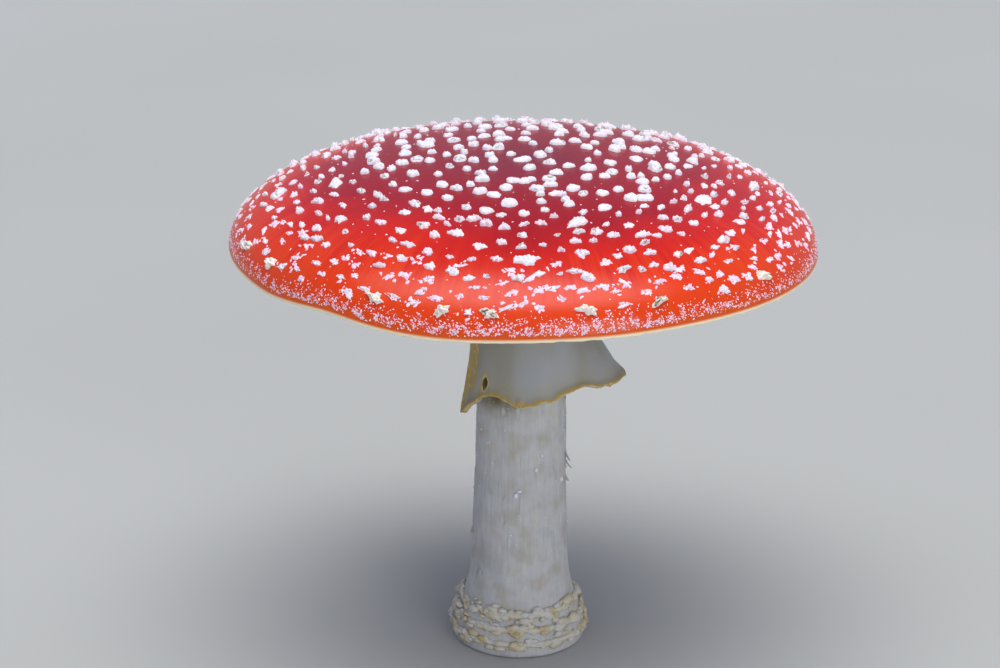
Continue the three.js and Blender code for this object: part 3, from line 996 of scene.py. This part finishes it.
def skirt_sheet(angle, share):
    """Points of the sheet at each angle and share of the way down to its hem."""
    down = share * skirt_left(angle)
    height = SKIRT_TOP - skirt_drop(angle) * down
    ribs = 0.016 * np.cos(RIBS * angle + 2 * np.sin(3 * angle)) * np.clip(3 * down, 0, 1)
    folds = 0.25 * down**1.5 * (np.sin(5 * angle + 1) + 0.6 * np.sin(9 * angle))
    out = skirt_flare(angle) * down ** skirt_bend(angle)
    return turned(angle, stem_radius(height) + SKIRT_GAP + out + ribs + folds, height)


# %% Ring material
def membrane():
    """A thin dry felt, faintly ribbed by the gills it lay against, with ochre veil dried on its hem."""
    # Like the stem's, its threads are too fine to show; a grain of 0.7 mm stands for them.
    material, tree, place = new_material(
        "Ribbed_white_membrane", roughness=0.6, subsurface_weight=0.15, subsurface_scale=1.5 * MM, IOR=1.4
    )
    to_hem = add_node(tree, "Attribute", out="Fac", attribute_name="to_hem")
    spots = add_node(tree, "TexNoise", sized(place, 1.6, 4))
    uneven = add_node(tree, "MapRange", {0: spots, **NOISE_RANGE, 3: -0.5, 4: 0.5})
    ragged = add_node(tree, "Math", {0: to_hem, 1: uneven}, operation="ADD")
    share = add_node(tree, "MapRange", {0: ragged, 1: 0, 2: 6})
    # Away from the hem the white membrane is painted grey, as the shade it hangs in.
    stops = [(0.0, "#CDBF92"), (0.06, "#C4A558"), (0.13, "#BBA770"), (0.22, "#A8A697"), (1.0, "#A9ABAA")]
    tone = add_node(tree, "ValToRGB", {"Fac": share}, stops)

    # It has dried to a faint buff in places, in streaks that run down it.
    lengthwise = add_node(tree, "VectorMath", {0: place, 1: (1, 1, 0.15)}, operation="MULTIPLY")
    streaks = add_node(tree, "TexNoise", sized(lengthwise, 14, 2))
    buff = add_node(tree, "ValToRGB", {"Fac": streaks}, [(0.4, "#EAE3D0"), (0.6, "#FFFFFF")])
    mottled = add_node(tree, "Mix", {0: 1.0, 6: tone, 7: buff}, **DARKEN)
    grain = add_node(tree, "TexNoise", sized(place, 0.7, 3))
    return finished(material, mottled, grain, strength=0.3, depth=0.12)


MEMBRANE = membrane()


# %% Ring mesh
def open_hole(points):
    """Pushes points away from the middle of the small hole, and tells how near each one was."""
    radius = np.hypot(points[:, 0], points[:, 1])
    angle = np.arctan2(points[:, 1], points[:, 0])
    aside = short_way(angle - math.radians(HOLE["angle"])) * radius
    above = points[:, 2] - HOLE["height"]
    near = np.hypot(aside / HOLE["half_width"], above / HOLE["half_height"]) + 1e-6
    push = (1 + near**4) ** 0.25 / near
    moved = turned(angle + aside * (push - 1) / radius, radius, HOLE["height"] + above * push)
    return moved, near


def ring():
    """The sheet is finer where it is torn, and each point knows how far it is from the torn edge."""
    rows = 56
    # Columns crowd at the two ends of the tear and round the hole.
    even = np.linspace(0, TURN, 4000)
    density = 1 + 2.2 * lobe(even, -165, 9) + 2.2 * lobe(even, 144, 9) + 2 * lobe(even, HOLE["angle"], 8)
    walked = np.concatenate([[0], np.cumsum((density[1:] + density[:-1]) / 2)])
    columns = 480
    angles = np.interp(np.linspace(0, walked[-1], columns, endpoint=False), walked, even)
    angle, share = (grid.ravel() for grid in np.meshgrid(angles, np.linspace(0, 1, rows)))
    points, near = open_hole(skirt_sheet(angle, share))
    faces = [face for face in grid_faces(rows, columns) if near[face].min() > 0.5]

    hem_line = skirt_sheet(np.linspace(0, TURN, 3000), np.ones(3000))
    hem = KDTree(len(hem_line))
    for number, point in enumerate(hem_line):
        hem.insert(point, number)
    hem.balance()
    to_hem = np.array([hem.find(point)[2] for point in points])
    # The veil has dried in a broader band along the tear.
    # The hem's ochre widens into a band along the tear, partly veil dried there and partly painted shade of
    # the fold.
    band = 4.5 * lobe(angle, -158, 16, power=4) * np.clip((points[:, 2] - 75) / 4, 0, 1)
    to_edge = np.maximum(to_hem - band, np.minimum(to_hem, 0.45))
    to_edge = np.minimum(to_edge, 2.5 * np.maximum(near - 1.1, 0) + 0.2)
    piece = add_piece("torn_ring", points, faces, MEMBRANE, "skirt_membrane", {"to_hem": to_edge}, ["ring"])
    thickness = piece.vertex_groups.new(name="thickness")
    for number, gap in enumerate(to_hem):
        share = THINNEST + (1 - THINNEST) * math.exp(-((gap / 1.3) ** 2))
        thickness.add([number], share, "REPLACE")
    solidify = piece.modifiers.new("thickness", "SOLIDIFY")
    solidify.thickness = HEM_THICKNESS * MM
    solidify.offset = 1
    solidify.vertex_group = "thickness"


ring()


# %% [markdown]
# ### Flocks of veil
#
# Dry veil clings in crumbs to the hem and to the stem. An icosphere for each would do, but a ball cut
# into rings is as quick to write, and random ripples make each one different. They are flattened
# towards the surface that they stick to.


# %% Lumps
def lump(middle, size, rng):
    """A small closed crumb, lumpy all over. Its size is half of what it measures out, aside and up."""
    rows, columns = 5, 9
    fall, around = np.linspace(0.12, 0.92, rows) * math.pi, all_round(columns)
    ball = turned(around[None, :], np.sin(fall)[:, None], np.cos(fall)[:, None]).reshape(-1, 3)
    ball = np.vstack([ball, [0, 0, 1], [0, 0, -1]])
    top, bottom, last = len(ball) - 2, len(ball) - 1, (rows - 1) * columns
    column = np.arange(columns)
    after = (column + 1) % columns
    caps = [*np.stack([np.full(columns, top), column, after], axis=1)]
    caps += [*np.stack([np.full(columns, bottom), last + after, last + column], axis=1)]
    ball *= size * (1 + 0.3 * ripples(ball, 1.2, int(rng.integers(1 << 30)))[:, None])
    facing = math.atan2(middle[1], middle[0])
    aside = turned(np.arctan2(ball[:, 1], ball[:, 0]) + facing, np.hypot(ball[:, 0], ball[:, 1]), ball[:, 2])
    return middle + aside, [*grid_faces(rows, columns), *caps]


# %% Flocks on the hem
def hem_flocks():
    """Crumbs of veil that dried on the hem, in uneven groups."""
    flock_rng = np.random.default_rng(51)
    parts = []
    for _ in range(560):
        angle = flock_rng.uniform(0, TURN)
        if ripples(np.array([[angle]]), 0.5, 52)[0] < flock_rng.uniform(-1.2, 0.6):
            continue
        middle = skirt_sheet(angle, 1 - abs(flock_rng.normal(0, 0.012)))
        size = flock_rng.uniform(0.2, 0.45) * np.array([1, 1, flock_rng.uniform(0.5, 0.9)])
        parts.append(lump(middle, size, flock_rng))
    points, faces = joined(parts)
    blend = 0.35 + 0.5 * ripples(points, 5, 53)
    add_piece("hem_flocks", points, faces, MEMBRANE, "skirt_membrane", {"to_hem": blend})


hem_flocks()


# %% Flocks on the stem
def stem_flocks():
    """Tiny white flocks of veil that stuck to the stem, and a few larger ones in front."""
    flock_rng = np.random.default_rng(55)
    kept = [(-95, 47.6, 1.0), (-91, 48.9, 0.6), (-70, 55, 0.7), (-63, 59, 0.5), (-28, 50, 0.7)]
    flocks = [(math.radians(at), height, size) for at, height, size in kept]
    flocks += [flock_rng.uniform((0, 24, 0.08), (TURN, 76, 0.3)) for _ in range(90)]
    parts = []
    for angle, height, size in flocks:
        middle = turned(angle, stem_radius(height) + 0.15, height)
        shape = size * flock_rng.uniform((0.5, 0.6, 0.6), (0.9, 1.2, 1.3))
        parts.append(lump(middle, shape, flock_rng))
    add_piece("stem_flocks", *joined(parts), WHITE_VEIL, "wart_veil")


stem_flocks()

# %% [markdown]
# ## Scales round the bulb
#
# The veil also left its mark at the foot: rows of crumbly scales round the bulb. Rings of torus shape
# would look like turned wood. Each belt of the frame is stood for by a low uneven ledge, crowded with
# crumbs of many sizes that hang over its torn upper edge.


# %% Scale material
# Crumbly dry veil: cream-white, clouded with ochre. Its grain is that of coarse meal; 0.8 mm is the
# finest that still shows.
VOLVA = clouded(
    "Crumbly_cream_volva",
    clouds=(3.5, 4), stops=[(0.35, "#C3B083"), (0.47, "#CFC7AE"), (0.6, "#D2CFC4")],
    grain=(0.8, 3), relief=(0.5, 0.15),
    roughness=0.85, subsurface_weight=0.1, subsurface_scale=1 * MM, IOR=1.4,
)


# %% Belts
def belt(name, seed):
    """One belt: a ledge that leans out from the bulb, with crumbs of veil all along it."""
    low, high = box_of(name)
    middle = (low[2] + high[2]) / 2
    belt_rng = np.random.default_rng(seed)
    columns = 300
    angle = all_round(columns)
    along = turned(angle, 18, 0)
    torn = np.clip(0.55 + 0.5 * ripples(along, 9, seed) + 0.35 * ripples(along, 3, seed + 1), 0.05, 1.4)
    rows = []
    for out, up in [(-0.6, -1.2), (0.15, -1.0), (0.7, -0.3), (1.0, 0.3), (0.8, 0.8), (0.2, 0.9), (-0.6, 0.7)]:
        height = middle + up * (0.5 + 0.6 * torn)
        bulge = out * (0.5 + 0.6 * torn) if out > 0 else out
        rows.append(turned(angle, stem_radius(height) + bulge + 0.08 * ripples(along, 2, seed + 2), height))
    parts = [(np.concatenate([*rows, rows[0]]), grid_faces(len(rows) + 1, columns)[:, ::-1])]
    for _ in range(230):
        at = belt_rng.uniform(0, TURN)
        size = belt_rng.gamma(3, 0.2) + 0.25
        height = middle + belt_rng.normal(0.2, 0.75)
        foot = turned(at, stem_radius(height) + 0.5 * belt_rng.uniform(), height)
        parts.append(lump(foot, size * belt_rng.uniform((0.5, 0.9, 0.45), (0.9, 1.7, 0.9)), belt_rng))
    scales = name.replace("volva_belt", "bulb_scales")
    add_piece(scales, *joined(parts), VOLVA, "bulb_scale", replaces=[name])


for place, seed in (("upper", 61), ("middle", 71), ("lower", 81)):
    belt("volva_belt_" + place, seed)
